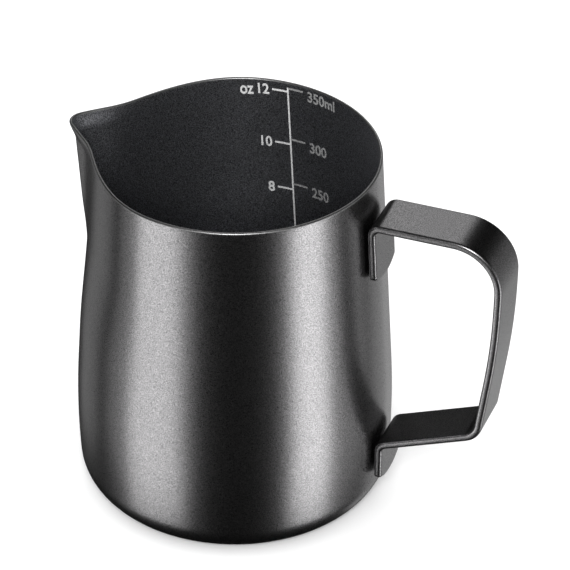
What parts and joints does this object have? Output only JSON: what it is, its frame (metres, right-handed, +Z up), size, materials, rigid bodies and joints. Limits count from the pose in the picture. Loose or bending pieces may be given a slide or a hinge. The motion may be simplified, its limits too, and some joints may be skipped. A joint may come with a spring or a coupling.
{
  "type": "milk frothing pitcher",
  "caption": "Small steel pitcher for steaming and pouring milk: drawn round cup with a pulled spout, welded strip handle and an etched volume scale inside.",
  "frame": {"origin": "centre of the flat resting face under the cup, on the cup's axis", "axes": "+Z up along the cup's axis, +X towards the handle, -X towards the spout, +Y towards the wall that carries the etched scale"},
  "size_m": [0.1105, 0.0766, 0.0908],
  "materials": {
    "coat": "charcoal pearl coat with fine grain",
    "handle_coat": "charcoal pearl coat with fine grain",
    "weld_steel": "bare stainless steel",
    "etched_steel": "laser-etched bare stainless steel"
  },
  "bodies": {
    "root": {"cup_shell": "coat", "handle": "handle_coat", "upper_welds": "weld_steel", "lower_welds": "weld_steel", "etched_scale": "etched_steel"}
  },
  "joints": []
}
